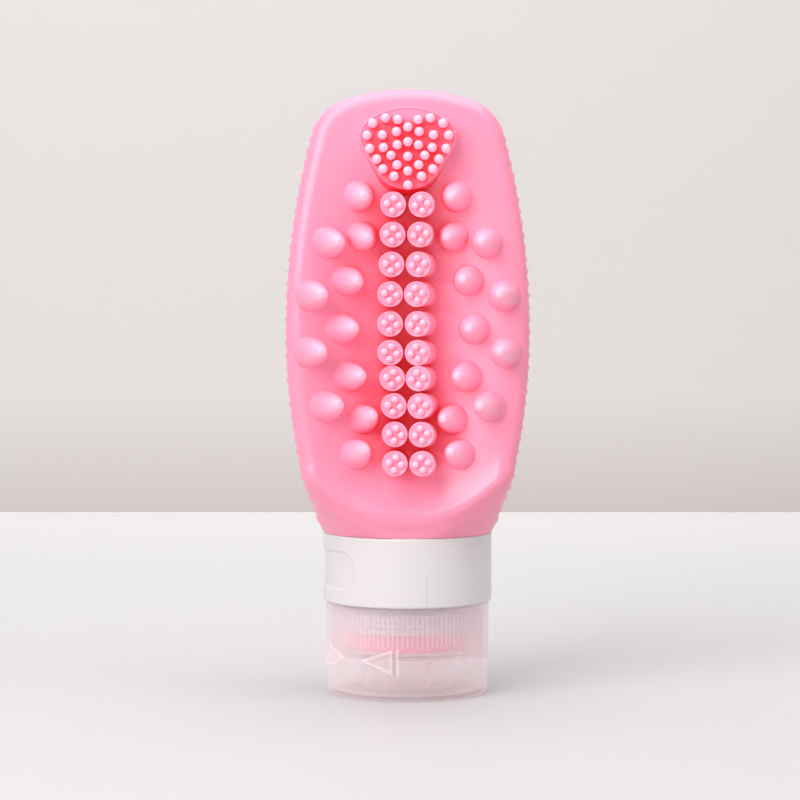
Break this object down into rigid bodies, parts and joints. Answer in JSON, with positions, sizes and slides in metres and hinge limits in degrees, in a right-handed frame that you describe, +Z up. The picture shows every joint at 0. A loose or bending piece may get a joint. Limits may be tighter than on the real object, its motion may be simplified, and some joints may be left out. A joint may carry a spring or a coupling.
{
  "type": "travel bottle",
  "caption": "Soft squeeze bottle with a brush face, standing upside down on a flip-lid screw cap under a turning collar ring.",
  "frame": {"origin": "centre of the lid's flat face, on which the bottle stands upside down", "axes": "+Z up the bottle's axis towards its closed end, the brush face looks along -Y, +X to the right of a viewer who faces the brush"},
  "size_m": [0.0564, 0.0453, 0.14],
  "materials": {
    "silicone": "soft satin",
    "collar_plastic": "satin",
    "ring_plastic": "satin",
    "frosted_plastic": "frosted",
    "clear_plastic": "clear",
    "valve_silicone": "satin"
  },
  "bodies": {
    "bottle": {"bottle_body": "silicone", "thread_collar": "collar_plastic", "label_ring": "collar_plastic"},
    "outer_ring": {"window_ring": "ring_plastic"},
    "valve_group": {"dosing_valve": "valve_silicone", "valve_retainer": "frosted_plastic"},
    "cap": {"screw_cap": "frosted_plastic"},
    "lid": {"flip_lid": "clear_plastic"},
    "web_front": {"hinge_web_front": "clear_plastic"},
    "web_back": {"hinge_web_back": "clear_plastic"}
  },
  "joints": [
    {"name": "ring_turn", "type": "hinge", "parent": "bottle", "child": "outer_ring", "pos_m": [0, 0, 0.0296], "axis": [0, 0, 1], "continuous": true},
    {"name": "cap_lift", "type": "slide", "parent": "bottle", "child": "valve_group", "axis": [0, 0, -1], "range_m": [0, 0.0045]},
    {"name": "cap_turn", "type": "hinge", "parent": "valve_group", "child": "cap", "pos_m": [0, 0, 0.0155], "axis": [0, 0, -1], "range_deg": [0, 540]},
    {"name": "lid_hinge", "type": "hinge", "parent": "cap", "child": "lid", "pos_m": [-0.01275, -0.01367, 0.00928], "axis": [-0.7314, 0.682, 0], "range_deg": [0, 170]},
    {"name": "web_front_fold", "type": "hinge", "parent": "cap", "child": "web_front", "pos_m": [-0.01083, -0.01546, 0.00928], "axis": [-0.8634, 0.3665, -0.3466], "range_deg": [0, 93]},
    {"name": "web_back_fold", "type": "hinge", "parent": "cap", "child": "web_back", "pos_m": [-0.01467, -0.01188, 0.00928], "axis": [-0.4258, 0.8358, 0.3466], "range_deg": [0, 93]}
  ],
  "couplings": [
    {"joint": "cap_turn", "follows": "cap_lift", "rad_per_m": 2094.4},
    {"joint": "web_front_fold", "follows": "lid_hinge", "ratio": 0.5445},
    {"joint": "web_back_fold", "follows": "lid_hinge", "ratio": 0.5445}
  ]
}
